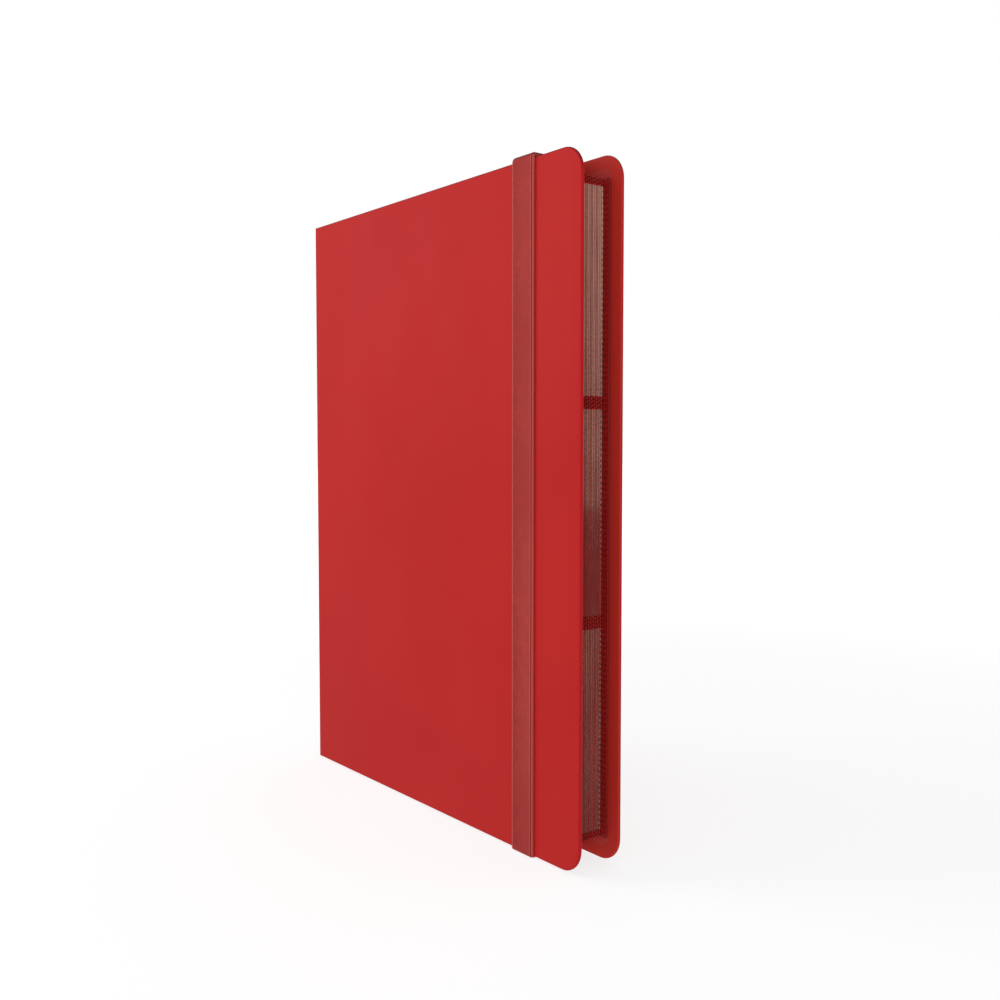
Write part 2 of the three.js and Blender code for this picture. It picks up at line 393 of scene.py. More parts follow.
def wrapping_finish(name):
    finish = Finish(name, Specular_IOR_Level=0.05)
    place, from_edge = finish.place(), distance_to_outline(finish)
    cloudy = finish.noise(9, 3)
    hand_marks = finish.noise(26, 4, finish.stretched(1, 1, 0.45)).within(0.42, 0.7)
    colour = finish.blend(cloudy.within(0.3, 0.7), rgb(173, 33, 32), rgb(178, 36, 34))
    # Real wear: along the outline the wrapping rubs deeper and glossier.
    edge_wear_and_highlight = from_edge.within(-RUBBED_WIDTH, -EDGE_LINE)
    colour = finish.blend(edge_wear_and_highlight * 0.65, colour, rgb(166, 16, 24))
    dusty = from_edge.within(-DUSTY_WIDTH, -EDGE_LINE) * place.part(2).within(DUSTY_FROM, DUSTY_TO)
    colour = finish.blend(dusty * 0.75, colour, rgb(96, 18, 22))
    # Painted shade: the same cloth is painted a browner red inside the case, the tint it shows in the
    # shade between the covers.
    inside = abs(place.part(1)).within(BACK_FACE - OUTSIDE_DEPTH, BACK_FACE - INSIDE_DEPTH)
    inside *= place.part(0).within(FRONT_LOW.x, FRONT_LOW.x + INSIDE_START)
    colour = finish.blend(inside * 0.9, colour, rgb(182, 46, 38))
    grain = finish.noise(2600, 2)
    pits = finish.noise(900, 1)
    height = grain * 0.5 + pits * 0.5
    return finish.feed(
        Base_Color=colour,
        Roughness=0.56 + hand_marks * -0.05 + edge_wear_and_highlight * -0.14 + grain * 0.04,
        Normal=finish.bump(height, 0.03 * MM, 0.5),
    )


WRAPPING = wrapping_finish("cover_wrapping_red")
print("wrapping:", len(WRAPPING.node_tree.nodes), "nodes")

# %% [markdown]
# ## A cover
# A cover is a board with the wrapping folded over its edges, so its edge is round and its inside
# has a raised border where the wrapping is turned in. It could be a flat plate with a bevel, but
# then the inside would lack that border. A box is rounded at its two fore-edge corners, cut where
# the turn-in ends, and the border is drawn up from it.

# %% Pick out the turn-in and the edges to round
EDGE_ROUNDING = 0.62 * MM
ROUNDING_STEPS = 4
CORNER_STEPS = 14
INNER_CORNER_STEPS = 8


def past_middle(height):
    """How far a height lies from the middle of the case, up or down."""
    return abs(height - MIDDLE)


def is_turn_in(face, floor_y):
    centre = face.calc_center_median()
    if not near(centre.y, floor_y) or face.normal.y < 0.9:
        return False
    return centre.x > FORE_EDGE - TURN_IN or past_middle(centre.z) > HALF_HEIGHT - TURN_IN


def on_rim(edge):
    """On the outside of the raised border, not on its step down to the lining."""
    centre = (edge.verts[0].co + edge.verts[1].co) / 2
    x, z = FORE_EDGE - centre.x, HALF_HEIGHT - past_middle(centre.z)
    if min(x, z) < TURN_IN / 2:
        return True
    inward_x, inward_z = CORNER_RADIUS - x, CORNER_RADIUS - z
    if min(inward_x, inward_z) <= 0:
        return False
    return math.hypot(inward_x, inward_z) > CORNER_RADIUS - TURN_IN / 2


def at_inner_corner(edge):
    """The upright step where the turn-in's inner border goes round a corner."""
    return along(edge, 1) and near(edge.verts[0].co.x, FORE_EDGE - TURN_IN) and sharp(edge)


def on_outline(edge, y):
    """A sharp edge at depth y that isn't on the spine side."""
    a, b = edge.verts
    if not (near(a.co.y, y) and near(b.co.y, y)):
        return False
    spine_side = near(a.co.x, FRONT_LOW.x) and near(b.co.x, FRONT_LOW.x)
    return sharp(edge, 50) and not spine_side


def clear_cutting_lines():
    """Joins the flat faces that the cuts left in pieces."""
    bpy.ops.mesh.select_all(action="SELECT")
    bpy.ops.mesh.dissolve_limited(angle_limit=math.radians(1))


# %% [markdown]
# The corners are rounded first, while the box has only its own edges. The lines that mark out the
# turn-in are cleared again before the last bevels, because a bevel can't slide past a cut line.

# %% Round the corners and raise the turn-in
def shape_front_cover():
    floor_y = FRONT_HIGH.y - LINING
    cover = slab("front_cover_wrap", FRONT_LOW, (FRONT_HIGH.x, floor_y, FRONT_HIGH.z))
    open_for_editing(cover)
    pick("edges", lambda e: along(e, 1) and near(e.verts[0].co.x, FORE_EDGE))
    bpy.ops.mesh.bevel(offset=CORNER_RADIUS, segments=CORNER_STEPS, affect="EDGES")
    cut_through((FORE_EDGE - TURN_IN, 0, 0), (1, 0, 0))
    cut_through((0, 0, HEAD - TURN_IN), (0, 0, 1))
    cut_through((0, 0, FOOT + TURN_IN), (0, 0, 1))
    pick("faces", lambda f: is_turn_in(f, floor_y))
    bpy.ops.mesh.extrude_region_move(TRANSFORM_OT_translate={"value": (0, LINING, 0)})
    clear_cutting_lines()
    pick("edges", at_inner_corner)
    inner_radius = CORNER_RADIUS - TURN_IN
    bpy.ops.mesh.bevel(offset=inner_radius, segments=INNER_CORNER_STEPS, affect="EDGES")
    pick("edges", lambda e: on_outline(e, FRONT_FACE))
    bpy.ops.mesh.bevel(offset=EDGE_ROUNDING, segments=ROUNDING_STEPS, affect="EDGES")
    pick("edges", lambda e: on_outline(e, FRONT_HIGH.y) and on_rim(e))
    bpy.ops.mesh.bevel(offset=EDGE_ROUNDING, segments=ROUNDING_STEPS, affect="EDGES")
    close()
    face_outwards(cover)
    smooth(cover)
    return cover


front_cover = dress(shape_front_cover(), WRAPPING)
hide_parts("front_skin")
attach(front_cover, "front_cover")
print("front cover:", len(front_cover.data.polygons), "faces")

# %% [markdown]
# ## The back cover
# The back cover is the same piece, turned over. Two slots near its head and foot let the strap
# through. A slot in a wrapped board is punched, so a plain box cuts it.

# %% Mirror the cover and punch the strap slots
SLOT_SIDE = 0.3 * MM
SLOT_FROM_EDGE = 14 * MM
SLOT_HIGH = 2.3 * MM
SLOT_DEEP = 1.2 * MM
PUNCH_OUT = 1 * MM  # how far the punch stands out of the cover


def punch(piece, low, high):
    tool = slab("slot_punch", low, high)
    apply_modifier(piece, "BOOLEAN", object=tool, operation="DIFFERENCE", solver="EXACT")
    bpy.data.objects.remove(tool)


def shape_back_cover():
    cover = copy_of(front_cover, "back_cover_wrap")
    cover.parent = None
    cover.scale = (1, -1, 1)
    settle(cover)
    face_outwards(cover)
    x0, x1 = STRAP_LOW.x - SLOT_SIDE, STRAP_HIGH.x + SLOT_SIDE
    y0, y1 = BACK_FACE - SLOT_DEEP, BACK_FACE + PUNCH_OUT
    punch(cover, (x0, y0, HEAD - SLOT_FROM_EDGE - SLOT_HIGH), (x1, y1, HEAD - SLOT_FROM_EDGE))
    punch(cover, (x0, y0, FOOT + SLOT_FROM_EDGE), (x1, y1, FOOT + SLOT_FROM_EDGE + SLOT_HIGH))
    smooth(cover)
    return cover


back_cover = shape_back_cover()
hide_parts("back_skin")
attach(back_cover, "back_cover")
print("back cover:", len(back_cover.data.polygons), "faces")

# %% [markdown]
# ## The spine
# The spine is a narrow cover with no free long edge: the wrapping goes on from it, round both
# folds, to the covers. Only its head and foot are turned in and rounded.

# %% Shape the spine
def shape_spine():
    floor_x = SPINE_HIGH.x - LINING
    spine = slab("spine_wrap", SPINE_LOW, (floor_x, SPINE_HIGH.y, SPINE_HIGH.z))
    open_for_editing(spine)
    cut_through((0, 0, HEAD - TURN_IN), (0, 0, 1))
    cut_through((0, 0, FOOT + TURN_IN), (0, 0, 1))
    border = HALF_HEIGHT - TURN_IN
    pick(
        "faces",
        lambda f: f.normal.x > 0.9 and past_middle(f.calc_center_median().z) > border,
    )
    bpy.ops.mesh.extrude_region_move(TRANSFORM_OT_translate={"value": (LINING, 0, 0)})
    clear_cutting_lines()
    pick("edges", lambda e: along(e, 1) and sharp(e) and at_the_end(e.verts[0].co.z))
    bpy.ops.mesh.bevel(offset=EDGE_ROUNDING, segments=ROUNDING_STEPS, affect="EDGES")
    close()
    face_outwards(spine)
    smooth(spine)
    return spine


def at_the_end(z):
    return near(z, HEAD) or near(z, FOOT)


spine = dress(shape_spine(), WRAPPING)
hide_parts("spine_skin")
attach(spine, "spine")

# %% [markdown]
# ## The folds
# Between a cover and the spine the wrapping is bare: a strip that turns a quarter circle when the
# binder is shut and lies flat when it is open. It is spun from its own cross-section.

# %% Spin the two folds
FOLD_RADIUS = FRONT_LOW.x - SPINE_FACE
SKIN = 0.35 * MM
SKIN_ROUNDING = SKIN * 0.35
FOLD_STEPS = 12


def at_both_ends(edge):
    return all(at_the_end(vertex.co.z) for vertex in edge.verts)


def shape_fold():
    deselect_everything()
    bpy.ops.mesh.primitive_plane_add(size=1, rotation=(0, math.radians(90), 0))
    fold = bpy.context.object
    fold.name = "front_fold"
    # Turned upright, the plane's X is its height and its Y its thickness.
    fold.scale = (HEAD - FOOT, SKIN, 1)
    fold.location = (FRONT_LOW.x, FRONT_FACE + SKIN / 2, MIDDLE)
    settle(fold)
    open_for_editing(fold)
    bpy.ops.mesh.select_all(action="SELECT")
    centre = (SPINE_FACE + FOLD_RADIUS, FRONT_FACE + FOLD_RADIUS, 0)
    spin(-90, centre, (0, 0, 1), FOLD_STEPS)
    close()
    face_outwards(fold)
    open_for_editing(fold)
    pick("edges", lambda e: sharp(e) and at_both_ends(e))
    bpy.ops.mesh.bevel(offset=SKIN_ROUNDING, segments=2, affect="EDGES")
    close()
    smooth(fold, 40)
    return fold


front_fold = dress(shape_fold(), WRAPPING)
back_fold = copy_of(front_fold, "back_fold")
back_fold.scale = (1, -1, 1)
settle(back_fold)
face_outwards(back_fold)
smooth(back_fold, 40)
for fold, node, cover_body, side in (
    (front_fold, "front_crease", "front_cover", FRONT_FACE),
    (back_fold, "back_crease", "back_cover", BACK_FACE),
):
    inward = FOLD_RADIUS if side < 0 else -FOLD_RADIUS
    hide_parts(node)
    side + inward
    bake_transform(fold)
print("fold reaches from", in_mm(front_fold.bound_box[0], 2))

# %% [markdown]
# ## The strap
# The strap is a wide woven elastic made of two layers, the front one a little narrower, so a dark
# line runs along each edge where the front layer stops. It rises in fine ribs along its length.
# A plain strip would look like tape, so its cross-section is drawn point by point.

# %% Draw the strap's cross-section
STRAP_MIDDLE = (STRAP_LOW.x + STRAP_HIGH.x) / 2
STRAP_HALF = (STRAP_HIGH.x - STRAP_LOW.x) / 2
STRAP_THICK = 1.7 * MM
RIBS = 14
RIB_HEIGHT = 0.03 * MM
POINTS_TO_A_RIB = 4
# The edge in steps, in millimetres: how far in from the strap's side, how far back from its face.
EDGE_STEPS = [
    (0.95, 0.00), (0.85, 0.04), (0.80, 0.15), (0.80, 0.50),  # the front layer's side
    (0.50, 0.50), (0.46, 0.42), (0.34, 0.36), (0.15, 0.40),  # the groove and the back layer's bead
    (0.04, 0.52), (0.00, 0.75), (0.00, 1.25), (0.10, 1.55), (0.35, 1.70),
]


def face_outline():
    """The strap's front face, from its left edge to its right: one low wave for each rib."""
    steps = RIBS * POINTS_TO_A_RIB
    flat = STRAP_HALF - EDGE_STEPS[0][0] * MM
    points = []
    for step in range(1, steps):
        across = step / steps
        rib = abs(math.sin(math.pi * RIBS * across)) * RIB_HEIGHT
        points.append((-flat + 2 * flat * across, RIB_HEIGHT - rib))
    return points


def strap_section():
    right = [(STRAP_HALF - inward * MM, depth * MM) for inward, depth in EDGE_STEPS]
    left = [(-x, y) for x, y in reversed(right)]
    front = face_outline()
    back = [(-x, STRAP_THICK - y) for x, y in front]
    return front + right + back + left


section = strap_section()
print("cross-section:", len(section), "points")

# %% [markdown]
# The section is one flat face that is taken along the strap's way: out of the head's slot, up the
# back, over the head, down the front, round the foot and up into the other slot. A straight run is
# an extrusion of the end face, and a bend is a spin of it about a line along X.

# %% Take the section along the strap's way
TOUCH = 0.05 * MM  # strap to what it lies on
STRAP_FRONT = FRONT_FACE - TOUCH
STRAP_BACK = BACK_FACE + TOUCH
STRAP_BEND = 0.7 * MM  # inside radius of its bends
HEAD_GAP = 0.5 * MM  # it bows up off the head
FOOT_THICK = 0.7 * MM
SLOT_EDGE = SLOT_FROM_EDGE + SLOT_SIDE
END_DEEP = 1.1 * MM  # how far its ends reach into the slots
BEND_STEPS = 8
BACK_PIECES, END_PIECES, FRONT_PIECES = 4, 8, 40


def strap_face(z):
    """The cross-section as one flat face in the head slot, its outer side down."""
    deselect_everything()
    bpy.ops.mesh.primitive_circle_add(vertices=len(section), radius=1, fill_type="NGON")
    band = bpy.context.object
    band.name = "strap_band"
    for vertex, (across, depth) in zip(band.data.vertices, section):
        vertex.co = (STRAP_MIDDLE + across, BACK_FACE - END_DEEP, z - STRAP_THICK + depth)
    settle(band)
    return band


def go(y, z, pieces=1):
    """Draws the end of the strap straight on."""
    for _ in range(pieces):
        step = (0, y / pieces, z / pieces)
        bpy.ops.mesh.extrude_region_move(TRANSFORM_OT_translate={"value": step})


def turn(y, z):
    """Swings the end of the strap a quarter turn about a line along X."""
    spin(90, (0, y, z), (1, 0, 0), BEND_STEPS)


def shape_strap():
    top = HEAD + HEAD_GAP - STRAP_BEND
    bottom = FOOT - TOUCH + STRAP_BEND
    band = strap_face(HEAD - SLOT_EDGE)
    open_for_editing(band)
    bpy.ops.mesh.select_all(action="SELECT")
    go(STRAP_BACK - BACK_FACE + END_DEEP, 0)
    turn(STRAP_BACK, HEAD - SLOT_EDGE)
    go(0, top - HEAD + SLOT_EDGE, BACK_PIECES)
    turn(STRAP_BACK - STRAP_BEND, top)
    go(STRAP_FRONT - STRAP_BACK + 2 * STRAP_BEND, 0, END_PIECES)
    turn(STRAP_FRONT + STRAP_BEND, top)
    go(0, bottom - top, FRONT_PIECES)
    turn(STRAP_FRONT + STRAP_BEND, bottom)
    go(STRAP_BACK - STRAP_FRONT - 2 * STRAP_BEND, 0, END_PIECES)
    turn(STRAP_BACK - STRAP_BEND, bottom)
    go(0, FOOT + SLOT_EDGE - bottom, BACK_PIECES)
    turn(STRAP_BACK, FOOT + SLOT_EDGE)
    go(BACK_FACE - STRAP_BACK - END_DEEP, 0)
    close()
    face_outwards(band)
    press_flat_under_foot(band)
    smooth(band, 50)
    return band


def press_flat_under_foot(band):
    """The binder stands on the strap, which is pressed thin there."""
    open_for_editing(band)
    low = FOOT - TOUCH
    pick("verts", lambda v: v.co.z < low - 0.01 * MM)
    squeeze = FOOT_THICK / STRAP_THICK
    bpy.ops.transform.resize(value=(1, 1, squeeze), center_override=(0, 0, low))
    close()


strap = shape_strap()
print("strap:", len(strap.data.polygons), "faces, size", in_mm(strap.dimensions))

# %% [markdown]
# ## Elastic finish
# Woven elastic is a row of covered rubber cords with a fine thread over and under them. The cords
# are in the shape already. The thread is a small over-and-under wave in the bump, about two to the
# millimetre, and the dye takes unevenly, so the face is a little mottled. Light is painted on it too:
# the face is painted lighter towards the fore-edge side, each edge has a painted pale highlight, and
# the groove between the layers and the bend over the head are painted dark as shade.

# %% Elastic finish
THREAD_ACROSS = 0.55 * MM
THREAD_ALONG = 0.7 * MM
GROOVE_OUT, GROOVE_IN = 0.44 * MM, 0.90 * MM  # from the strap's side
GROOVE_BLUR = 0.08 * MM
PALE_IN = 1.5 * MM
DARK_BEND_FROM, DARK_BEND_TO = HEAD + 0.2 * MM, HEAD + 1.6 * MM


def waves(value, length):
    """A wave from -1 to 1 along a value, each as long as given."""
    return (value * (2 * math.pi / length)).wave()


def elastic_finish():
    finish = Finish(
        "strap_elastic_red", Sheen_Weight=0.1, Sheen_Roughness=0.4, Specular_IOR_Level=0.12
    )
    where = finish.place()
    across = where.part(0) - STRAP_MIDDLE
    from_side = STRAP_HALF - abs(across)
    lengthways = where.part(2) + where.part(1)
    thread = waves(across, THREAD_ACROSS) * waves(lengthways, THREAD_ALONG)
    grain = finish.noise(950, 3, finish.stretched(1, 1, 0.7))
    mottle = finish.noise(240, 2, finish.stretched(1, 1, 0.8))
    # Painted light: the face is lighter towards the fore-edge side, where the fill light falls.
    painted_fore_edge_light = across.within(-STRAP_HALF, STRAP_HALF * 0.6)
    uneven = grain.within(0.3, 0.7) * 0.55 + mottle.within(0.3, 0.7) * 0.45
    colour = finish.blend(uneven, rgb(136, 34, 31), rgb(160, 48, 43))
    colour = finish.blend(painted_fore_edge_light * 0.4, colour, rgb(172, 64, 57))
    stretch = finish.noise(15, 2).within(0.4, 0.62)
    colour = finish.blend(stretch * 0.4, colour, rgb(140, 30, 29))
    # Painted shade in the groove between the two layers.
    painted_groove_shade = from_side.within(GROOVE_IN, GROOVE_IN - GROOVE_BLUR)
    painted_groove_shade *= from_side.within(GROOVE_OUT, GROOVE_OUT + GROOVE_BLUR)
    # Painted highlight: each edge of the strap, beside the groove and on the back layer's bead, is
    # painted pale.
    edge_wear_and_highlight = from_side.within(PALE_IN, GROOVE_IN)
    colour = finish.blend(edge_wear_and_highlight * 0.6, colour, rgb(204, 96, 88))
    colour = finish.blend(painted_groove_shade * 0.7, colour, rgb(104, 20, 18))
    # Painted shade on the bend over the head.
    painted_bend_shade = where.part(2).within(DARK_BEND_FROM, DARK_BEND_TO)
    colour = finish.blend(painted_bend_shade * 0.7, colour, rgb(92, 22, 20))
    return finish.feed(
        Base_Color=colour,
        Roughness=0.66 + mottle * 0.15,
        Normal=finish.bump(thread * 0.4 + grain * 0.8, 0.05 * MM, 0.5),
    )


# %% [markdown]
# ## Where the strap belongs
# Let go, the strap swings behind the back cover and lies flat on it. So it rides on its own body.

# %% Hand the strap over
dress(strap, elastic_finish())
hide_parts("elastic_strap")
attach(strap, "strap")
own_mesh(strap)

# %% [markdown]
# ## A leaf's film
# Each leaf is a red sheet with a clear film folded round its outer edge. Where the two are welded,
# along the rows and beside the columns, the film is pressed down to the sheet; between the welds it
# stands off and forms the pockets. Each pocket is open towards the spine.

# %% Where the welds are
LEAF_LOW, LEAF_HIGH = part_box("page_01_pockets")
LAST_LOW, LAST_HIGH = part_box("page_20_pockets")
LEAVES = 20
LEAF_MIDDLE = (LEAF_LOW.y + LEAF_HIGH.y) / 2
LAST_MIDDLE = (LAST_LOW.y + LAST_HIGH.y) / 2
LEAF_PITCH = (LAST_MIDDLE - LEAF_MIDDLE) / (LEAVES - 1)
FILM = 0.12 * MM
COLUMN = (LEAF_HIGH.x - LEAF_LOW.x - FILM) / 3
FILM_RADIUS = (LEAF_HIGH.y - LEAF_LOW.y - FILM) / 2
LEAF_HEIGHT = LEAF_HIGH.z - LEAF_LOW.z
COLUMN_WELD = 2.2 * MM
MOUTH = 0.6 * MM
END_WELD = 3.5 * MM
ROW_WELD = 6 * MM
POCKET_HIGH = (LEAF_HEIGHT - 2 * END_WELD - 2 * ROW_WELD) / 3
SLOPE = 0.5 * MM  # from the film's full height down to a weld
DOT_PITCH = 2.5 * MM
DOTS_DOWN = round(LEAF_HEIGHT / DOT_PITCH)

row_welds = []
for row in range(4):
    below = LEAF_LOW.z + END_WELD + row * (POCKET_HIGH + ROW_WELD)
    row_welds.append((max(below - ROW_WELD, LEAF_LOW.z), min(below, LEAF_HIGH.z)))
column_welds = [
    (LEAF_LOW.x + (k + 1) * COLUMN - COLUMN_WELD, LEAF_LOW.x + (k + 1) * COLUMN) for k in range(2)
]
print("pitch", in_mm([LEAF_PITCH], 3), "rows", [in_mm(weld) for weld in row_welds])

# %% [markdown]
# The film starts as one flat wall. Its outer edge is spun half round and drawn back as the second
# wall, the welds are cut in and squeezed, the pocket mouths are cut out, and the wall gets its
# thickness last.

# %% Fold the film and press the welds
WELD_PRESS = 0.45  # share of the film's height that is left in a weld
NOTCH_PRESS = 0.8
NOTCH_DEEP = 0.12 * MM
FILM_FOLD_STEPS = 6
DOWN_SLOPE = SLOPE * 0.9
FAR_OUT = 1  # a metre, past every edge


def in_bands(value, bands):
    return any(low <= value <= high for low, high in bands)


def shape_film(name, high_x, border):
    """A film for the first leaf's place, out to high_x, with a welded border of that width."""
    fold_x = high_x - FILM / 2 - FILM_RADIUS
    deselect_everything()
    bpy.ops.mesh.primitive_plane_add(size=1, rotation=(math.radians(90), 0, 0))
    film = bpy.context.object
    film.name = name
    film.scale = (fold_x - LEAF_LOW.x, LEAF_HEIGHT, 1)
    middle_z = (LEAF_LOW.z + LEAF_HIGH.z) / 2
    film.location = ((fold_x + LEAF_LOW.x) / 2, LEAF_MIDDLE - FILM_RADIUS, middle_z)
    settle(film)
    open_for_editing(film)
    pick("edges", lambda e: along(e, 2) and near(e.verts[0].co.x, fold_x))
    spin(180, (fold_x, LEAF_MIDDLE, 0), (0, 0, 1), FILM_FOLD_STEPS)
    bpy.ops.mesh.extrude_region_move(
        TRANSFORM_OT_translate={"value": (LEAF_LOW.x - fold_x, 0, 0)}
    )
    for low, high in row_welds:
        for z in (low, low + SLOPE, high - SLOPE, high):
            cut_through((0, 0, z), (0, 0, 1))
    columns = list(column_welds)
    if border:
        columns.append((fold_x - border, fold_x))
    for low, high in columns:
        for x in (low, low + SLOPE, high - SLOPE, high, high + MOUTH):
            cut_through((x, 0, 0), (1, 0, 0))
    notch_fold(fold_x)
    press_welds(columns, fold_x, border)
    cut_mouths()
    close()
    return film


def notch_fold(fold_x):
    """Cuts the fold at each weld dot and at the middle between two."""
    count = DOTS_DOWN * 2
    for step in range(1, count):
        z = LEAF_LOW.z + LEAF_HEIGHT * step / count
        pick("faces", lambda f: f.calc_center_median().x > fold_x)
        bpy.ops.mesh.bisect(plane_co=(0, 0, z), plane_no=(0, 0, 1), use_fill=False)


def press_welds(columns, fold_x, border):
    pressed = [(low + DOWN_SLOPE, high - DOWN_SLOPE) for low, high in row_welds[1:-1]]
    pressed.append((row_welds[0][0] - FAR_OUT, row_welds[0][1] - DOWN_SLOPE))
    pressed.append((row_welds[-1][0] + DOWN_SLOPE, row_welds[-1][1] + FAR_OUT))
    pick("verts", lambda v: in_bands(v.co.z, pressed))
    squeeze_to_sheet(WELD_PRESS)
    sides = [(low + DOWN_SLOPE, high - DOWN_SLOPE) for low, high in columns[:2]]
    if border:
        sides.append((columns[2][0] + DOWN_SLOPE, columns[2][1] + FAR_OUT))
    pick("verts", lambda v: in_bands(v.co.x, sides) and not in_bands(v.co.z, pressed))
    squeeze_to_sheet(WELD_PRESS)
    half = LEAF_HEIGHT / DOTS_DOWN / 2

    def between_dots(v):
        step = (v.co.z - LEAF_LOW.z) / half
        odd = near(step, round(step), 0.05) and round(step) % 2 == 1
        return v.co.x > fold_x + 0.05 * MM and odd

    pick("verts", between_dots)
    squeeze_to_sheet(NOTCH_PRESS)
    bpy.ops.transform.translate(value=(-NOTCH_DEEP, 0, 0))


def squeeze_to_sheet(share):
    bpy.ops.transform.resize(value=(1, share, 1), center_override=(0, LEAF_MIDDLE, 0))


def cut_mouths():
    slits = [(high, high + MOUTH) for low, high in column_welds]
    rows = [(a[1], b[0]) for a, b in zip(row_welds[:-1], row_welds[1:])]

    def in_slit(f):
        centre = f.calc_center_median()
        return in_bands(centre.x, slits) and in_bands(centre.z, rows)

    print("mouth faces:", pick("faces", in_slit))
    bpy.ops.mesh.delete(type="FACE")


def give_thickness(film):
    apply_modifier(film, "SOLIDIFY", thickness=FILM, offset=0)
    smooth(film, 40)


film = shape_film("page_01_film", LEAF_HIGH.x, 0)
give_thickness(film)
last_film = shape_film("page_20_film", LAST_HIGH.x, LAST_HIGH.x - LEAF_HIGH.x)
give_thickness(last_film)
last_film.location.y = LAST_MIDDLE - LEAF_MIDDLE
settle(last_film)
print("film:", len(film.data.polygons), "faces, last:", len(last_film.data.polygons))

# %% [markdown]
# ## Weld dots
# The welding bar has rows of small teeth, and each leaves a raised dot. There are over two thousand
# on a leaf, so a dot is a six-sided point of seven faces, and Array modifiers set out the rows.

# %% Set out the dots of a leaf
DOT = 0.7 * MM
DOT_HEIGHT = 0.24 * MM
DOT_SUNK = 0.4  # share of its height from the weld's face to its middle
WELD_Y = WELD_PRESS * FILM_RADIUS + FILM / 2
SIDE_MARGIN = 1.5 * MM  # leaf's edge to the first dot
NARROW_WELD = 4 * MM  # a weld up to this width has two rows, not three
BORDER_MARGIN = 0.2 * MM
BORDER_ROW_STEP = 1.7 * MM


def dot_rows(x, z, count_x, step_x, count_z, step_z):
    """A block of weld dots on the front of the first leaf."""
    deselect_everything()
    bpy.ops.mesh.primitive_cone_add(
        vertices=6, radius1=DOT, radius2=0, depth=DOT_HEIGHT,
        location=(x, LEAF_MIDDLE - WELD_Y - DOT_HEIGHT * DOT_SUNK, z),
        rotation=(math.radians(90), 0, 0),
    )
    dots = bpy.context.object
    settle(dots)
    smooth(dots, 60)
    for count, step in ((count_x, (step_x, 0, 0)), (count_z, (0, 0, step_z))):
        if count > 1:
            apply_modifier(
                dots, "ARRAY", count=count, use_relative_offset=False,
                use_constant_offset=True, constant_offset_displace=step,
            )
    return dots


def leaf_dots(name, high_x, border):
    across = round((high_x - LEAF_LOW.x - 2 * SIDE_MARGIN) / DOT_PITCH)
    lowest = LEAF_LOW.z + DOT_PITCH / 2
    parts = []
    for low, high in row_welds:
        rows = 3 if high - low > NARROW_WELD else 2
        step = (high - low) / (rows + 0.5)
        first = (low + high) / 2 - step * (rows - 1) / 2
        parts.append(dot_rows(LEAF_LOW.x + SIDE_MARGIN, first, across, DOT_PITCH, rows, step))
    for low, high in column_welds:
        parts.append(dot_rows((low + high) / 2, lowest, 1, 0, DOTS_DOWN, DOT_PITCH))
    if border:
        first = high_x - border + BORDER_MARGIN
        parts.append(dot_rows(first, lowest, 2, BORDER_ROW_STEP, DOTS_DOWN, DOT_PITCH))
    deselect_everything()
    for part in parts:
        part.select_set(True)
    bpy.context.view_layer.objects.active = parts[0]
    bpy.ops.object.join()
    front = parts[0]
    back = copy_of(front, "other_side")
    open_for_editing(back)
    bpy.ops.mesh.select_all(action="SELECT")
    bpy.ops.transform.resize(value=(1, -1, 1), center_override=(0, LEAF_MIDDLE, 0))
    bpy.ops.mesh.normals_make_consistent(inside=False)
    close()
    back.select_set(True)
    front.select_set(True)
    bpy.context.view_layer.objects.active = front
    bpy.ops.object.join()
    front.name = name
    return front


dots = leaf_dots("page_01_welds", LEAF_HIGH.x, 0)
last_dots = leaf_dots("page_20_welds", LAST_HIGH.x, LAST_HIGH.x - LEAF_HIGH.x)
last_dots.location.y = LAST_MIDDLE - LEAF_MIDDLE
settle(last_dots)
print("dots:", len(dots.data.polygons), "faces on a leaf")

# %% [markdown]
# ## Film finishes
# The film is clear, soft and slightly hazy, and it goes milky where it is folded or creased. Glass
# would look too hard and is slow to draw, so the clear film is thin paint with a low alpha.

# %% Film finishes
FILM_IOR = 1.49
SCUFF_LIFT = 12  # how much lighter a scuff is than the film's own tint
FULL_HAZE = 0.3  # height, in metres, that the haze is measured against
DARK_BAND_FROM, DARK_BAND_TO = 0.123, 0.171  # heights of a painted band where the folds reflect less light
DARK_BAND_BLUR = 0.005
DARK_BAND_RIPPLE = 0.02
LEAST_HAZE = 0.04


def scuffed(finish, tint):
    """The scuffs of a film, and its colour with them."""
    scuffs = finish.noise(180, 4, finish.stretched(1, 1, 0.25))
    lighter = rgb(*(v + SCUFF_LIFT for v in tint))
    return scuffs, finish.blend(scuffs.within(0.35, 0.7), rgb(*tint), lighter)


def film_finish(name, haze, milky, tint):
    """Clear film, hazy by the given share of milk, with soft scuffs and ripples."""
    finish = Finish(name, Specular_IOR_Level=0.35, IOR=FILM_IOR)
    ripple = finish.noise(40, 2)
    scuffs, colour = scuffed(finish, tint)
    return finish.feed(
        Base_Color=colour,
        Roughness=haze + scuffs * 0.12,
        Alpha=scuffs.within(0.4, 0.8) * 0.07 + milky,
        Normal=finish.bump(ripple + scuffs * 0.2, 0.2 * MM, 0.3),
    )


